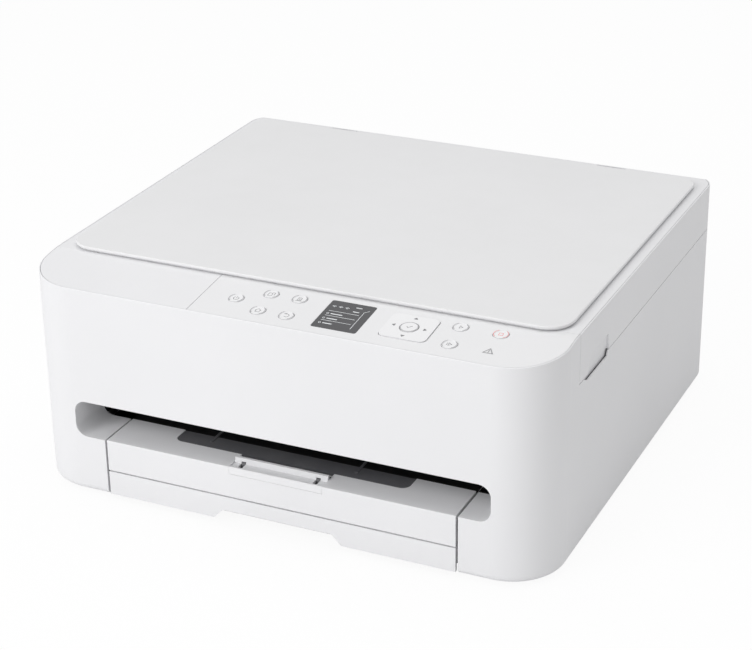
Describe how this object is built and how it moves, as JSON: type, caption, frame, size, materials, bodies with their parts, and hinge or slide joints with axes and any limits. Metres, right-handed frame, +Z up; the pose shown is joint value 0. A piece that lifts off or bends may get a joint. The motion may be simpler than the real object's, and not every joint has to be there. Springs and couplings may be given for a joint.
{
  "type": "inkjet multifunction printer",
  "caption": "Table-top inkjet multifunction printer with a flatbed scanner, hinged document cover, sloping control strip, front paper cassette and delivery tray.",
  "frame": {"origin": "on the table, under the middle of the overall box", "axes": "+Z up, +Y from the control strip to the back, +X to the right as seen from the front"},
  "size_m": [0.376, 0.358, 0.1626],
  "materials": {
    "casing_white": "fine moulded grain",
    "cover_white": "smooth satin moulding",
    "panel_white": "fine grain",
    "key_white": "smooth satin",
    "window_dark": "glossy tinted window",
    "inlay_grey": "fine grain dark grey",
    "engine_black": "dull black moulding",
    "cartridge_black": "semi gloss",
    "guide_grey": "satin moulding",
    "gear_natural": "natural moulded gear plastic",
    "rubber_dark": "dull rubber",
    "roller_steel": "ground shaft with coated sleeves",
    "sheet_steel": "zinc plated sheet",
    "glass_clear": "float glass",
    "pad_white": "white film over foam",
    "board_green": "solder mask"
  },
  "bodies": {
    "base": {"main_casing": "casing_white", "base_pan": "engine_black", "feet": "rubber_dark", "base_screws": "roller_steel", "slot_surround": "casing_white", "paper_tunnel": "engine_black", "chassis": "sheet_steel", "motors": "roller_steel", "roller_holders": "engine_black", "service_station": "engine_black", "main_board": "board_green", "power_supply": "sheet_steel", "sockets": "engine_black", "drive_belt": "rubber_dark"},
    "scanner_unit": {"scanner_tub": "casing_white", "top_frame": "casing_white", "control_panel": "panel_white", "control_board": "board_green", "panel_windows": "window_dark", "platen_glass": "glass_clear", "scan_rail": "roller_steel"},
    "scan_bar": {"scan_bar": "engine_black"},
    "cover_posts": {"cover_posts": "guide_grey"},
    "document_cover": {"cover_shell": "cover_white", "pressure_pad": "pad_white"},
    "nav_carrier": {"nav_carrier": "engine_black"},
    "nav_pad": {"nav_pad": "key_white"},
    "key_ok": {"key_ok": "key_white"},
    "carriage": {"carriage": "engine_black", "cartridges": "cartridge_black"},
    "drive_pulley": {"drive_pulley": "gear_natural"},
    "idle_pulley": {"idle_pulley": "gear_natural"},
    "feed_roller": {"feed_roller": "roller_steel"},
    "idler_gear": {"idler_gear": "gear_natural"},
    "exit_roller": {"exit_roller": "roller_steel"},
    "motor_pinion": {"motor_pinion": "gear_natural"},
    "rear_idler_gear": {"rear_idler_gear": "gear_natural"},
    "transport_roller": {"transport_roller": "rubber_dark"},
    "pinch_rollers": {"pinch_rollers": "roller_steel"},
    "star_wheels": {"star_wheels": "roller_steel"},
    "pickup_arm": {"pickup_arm": "engine_black"},
    "pickup_roller": {"pickup_roller": "rubber_dark"},
    "cassette": {"cassette": "casing_white"},
    "guide_left": {"guide_left": "guide_grey"},
    "guide_right": {"guide_right": "guide_grey"},
    "guide_pinion": {"guide_pinion": "gear_natural"},
    "rear_guide": {"rear_guide": "guide_grey"},
    "output_tray": {"output_tray": "casing_white", "tray_insert": "inlay_grey"},
    "tray_extension": {"tray_extension": "inlay_grey"},
    "paper_stop": {"paper_stop": "casing_white"},
    "rear_cover": {"rear_cover": "casing_white"},
    "key_power": {"key_power": "key_white"},
    "key_copy": {"key_copy": "key_white"},
    "key_scan": {"key_scan": "key_white"},
    "key_home": {"key_home": "key_white"},
    "key_back": {"key_back": "key_white"},
    "key_start_black": {"key_start_black": "key_white"},
    "key_start_colour": {"key_start_colour": "key_white"},
    "key_stop": {"key_stop": "key_white"}
  },
  "joints": [
    {"name": "scanner_unit_hinge", "type": "hinge", "parent": "base", "child": "scanner_unit", "pos_m": [0, 0.1617, 0.125], "axis": [-1, 0, 0], "range_deg": [0, 28]},
    {"name": "cover_rise", "type": "slide", "parent": "scanner_unit", "child": "cover_posts", "axis": [0, 0, 1], "range_m": [0, 0.012]},
    {"name": "document_cover_hinge", "type": "hinge", "parent": "cover_posts", "child": "document_cover", "pos_m": [0, 0.158, 0.1554], "axis": [-1, 0, 0], "range_deg": [0, 80]},
    {"name": "key_power_press", "type": "slide", "parent": "scanner_unit", "child": "key_power", "axis": [0, 0.1036, -0.9946], "range_m": [0, 0.0006], "stiffness_N_per_m": 900},
    {"name": "key_copy_press", "type": "slide", "parent": "scanner_unit", "child": "key_copy", "axis": [0, 0.1036, -0.9946], "range_m": [0, 0.0006], "stiffness_N_per_m": 900},
    {"name": "key_scan_press", "type": "slide", "parent": "scanner_unit", "child": "key_scan", "axis": [0, 0.1036, -0.9946], "range_m": [0, 0.0006], "stiffness_N_per_m": 900},
    {"name": "key_home_press", "type": "slide", "parent": "scanner_unit", "child": "key_home", "axis": [0, 0.1036, -0.9946], "range_m": [0, 0.0006], "stiffness_N_per_m": 900},
    {"name": "key_back_press", "type": "slide", "parent": "scanner_unit", "child": "key_back", "axis": [0, 0.1036, -0.9946], "range_m": [0, 0.0006], "stiffness_N_per_m": 900},
    {"name": "key_start_black_press", "type": "slide", "parent": "scanner_unit", "child": "key_start_black", "axis": [0, 0.1036, -0.9946], "range_m": [0, 0.0006], "stiffness_N_per_m": 900},
    {"name": "key_start_colour_press", "type": "slide", "parent": "scanner_unit", "child": "key_start_colour", "axis": [0, 0.1036, -0.9946], "range_m": [0, 0.0006], "stiffness_N_per_m": 900},
    {"name": "key_stop_press", "type": "slide", "parent": "scanner_unit", "child": "key_stop", "axis": [0, 0.1036, -0.9946], "range_m": [0, 0.0006], "stiffness_N_per_m": 900},
    {"name": "key_ok_press", "type": "slide", "parent": "scanner_unit", "child": "key_ok", "axis": [0, 0.1036, -0.9946], "range_m": [0, 0.0006], "stiffness_N_per_m": 900},
    {"name": "nav_tilt_up_down", "type": "hinge", "parent": "scanner_unit", "child": "nav_carrier", "pos_m": [0.0852, -0.15288, 0.1523], "axis": [1, 0, 0], "range_deg": [-1.5, 1.5], "stiffness_Nm_per_rad": 0.6},
    {"name": "nav_tilt_sideways", "type": "hinge", "parent": "nav_carrier", "child": "nav_pad", "pos_m": [0.0852, -0.15288, 0.1523], "axis": [0, 0.9946, 0.1036], "range_deg": [-1.5, 1.5], "stiffness_Nm_per_rad": 0.6},
    {"name": "scan_bar_travel", "type": "slide", "parent": "scanner_unit", "child": "scan_bar", "axis": [1, 0, 0], "range_m": [0, 0.28]},
    {"name": "carriage_travel", "type": "slide", "parent": "base", "child": "carriage", "axis": [-1, 0, 0], "range_m": [0, 0.25]},
    {"name": "feed_roller_spin", "type": "hinge", "parent": "base", "child": "feed_roller", "pos_m": [0, 0.078, 0.06], "axis": [1, 0, 0], "continuous": true},
    {"name": "idler_gear_spin", "type": "hinge", "parent": "base", "child": "idler_gear", "pos_m": [-0.1607, 0.046, 0.06], "axis": [1, 0, 0], "continuous": true},
    {"name": "exit_roller_spin", "type": "hinge", "parent": "base", "child": "exit_roller", "pos_m": [0, 0.018, 0.06], "axis": [1, 0, 0], "continuous": true},
    {"name": "motor_pinion_spin", "type": "hinge", "parent": "base", "child": "motor_pinion", "pos_m": [-0.1607, 0.0905, 0.03835], "axis": [1, 0, 0], "continuous": true},
    {"name": "rear_idler_spin", "type": "hinge", "parent": "base", "child": "rear_idler_gear", "pos_m": [-0.1607, 0.10955, 0.05465], "axis": [1, 0, 0], "continuous": true},
    {"name": "transport_roller_spin", "type": "hinge", "parent": "base", "child": "transport_roller", "pos_m": [0, 0.138, 0.04], "axis": [1, 0, 0], "continuous": true},
    {"name": "pinch_rollers_spin", "type": "hinge", "parent": "base", "child": "pinch_rollers", "pos_m": [0, 0.078, 0.0689], "axis": [1, 0, 0], "continuous": true},
    {"name": "star_wheels_spin", "type": "hinge", "parent": "base", "child": "star_wheels", "pos_m": [0, 0.018, 0.0701], "axis": [1, 0, 0], "continuous": true},
    {"name": "pickup_arm_hinge", "type": "hinge", "parent": "base", "child": "pickup_arm", "pos_m": [0, 0.095, 0.038], "axis": [-1, 0, 0], "range_deg": [0, 12]},
    {"name": "pickup_roller_spin", "type": "hinge", "parent": "pickup_arm", "child": "pickup_roller", "pos_m": [0, 0.06, 0.0246], "axis": [1, 0, 0], "continuous": true},
    {"name": "cassette_slide", "type": "slide", "parent": "base", "child": "cassette", "axis": [0, -1, 0], "range_m": [0, 0.3]},
    {"name": "guide_left_slide", "type": "slide", "parent": "cassette", "child": "guide_left", "axis": [1, 0, 0], "range_m": [0, 0.045]},
    {"name": "guide_right_slide", "type": "slide", "parent": "cassette", "child": "guide_right", "axis": [1, 0, 0], "range_m": [-0.045, 0]},
    {"name": "guide_pinion_spin", "type": "hinge", "parent": "cassette", "child": "guide_pinion", "pos_m": [0, 0.01, 0.0148], "axis": [0, 0, 1], "range_deg": [-290, 0]},
    {"name": "rear_guide_slide", "type": "slide", "parent": "cassette", "child": "rear_guide", "axis": [0, -1, 0], "range_m": [0, 0.075]},
    {"name": "output_tray_slide", "type": "slide", "parent": "base", "child": "output_tray", "axis": [0, -1, 0], "range_m": [0, 0.118]},
    {"name": "tray_extension_slide", "type": "slide", "parent": "output_tray", "child": "tray_extension", "axis": [0, -1, 0], "range_m": [0, 0.085]},
    {"name": "paper_stop_flip", "type": "hinge", "parent": "tray_extension", "child": "paper_stop", "pos_m": [0, -0.1696, 0.044], "axis": [-1, 0, 0], "range_deg": [0, 80]},
    {"name": "rear_cover_hinge", "type": "hinge", "parent": "base", "child": "rear_cover", "pos_m": [0, 0.172, 0.017], "axis": [-1, 0, 0], "range_deg": [0, 75]},
    {"name": "drive_pulley_spin", "type": "hinge", "parent": "base", "child": "drive_pulley", "pos_m": [0.165, 0.0995, 0.098], "axis": [0, 1, 0], "range_deg": [-10, 2400]},
    {"name": "idle_pulley_spin", "type": "hinge", "parent": "base", "child": "idle_pulley", "pos_m": [-0.143, 0.0995, 0.098], "axis": [0, 1, 0], "range_deg": [-10, 2400]}
  ],
  "couplings": [
    {"joint": "exit_roller_spin", "follows": "feed_roller_spin", "ratio": 1.2667},
    {"joint": "idler_gear_spin", "follows": "feed_roller_spin", "ratio": -1.4615},
    {"joint": "motor_pinion_spin", "follows": "feed_roller_spin", "ratio": -3.1667},
    {"joint": "rear_idler_spin", "follows": "feed_roller_spin", "ratio": -1.4615},
    {"joint": "transport_roller_spin", "follows": "feed_roller_spin", "ratio": 1},
    {"joint": "pinch_rollers_spin", "follows": "feed_roller_spin", "ratio": -2.52},
    {"joint": "star_wheels_spin", "follows": "feed_roller_spin", "ratio": -1.2667},
    {"joint": "guide_right_slide", "follows": "guide_left_slide", "ratio": -1},
    {"joint": "guide_pinion_spin", "follows": "guide_left_slide", "rad_per_m": -111.11},
    {"joint": "drive_pulley_spin", "follows": "carriage_travel", "rad_per_m": 151.52},
    {"joint": "idle_pulley_spin", "follows": "carriage_travel", "rad_per_m": 151.52}
  ]
}
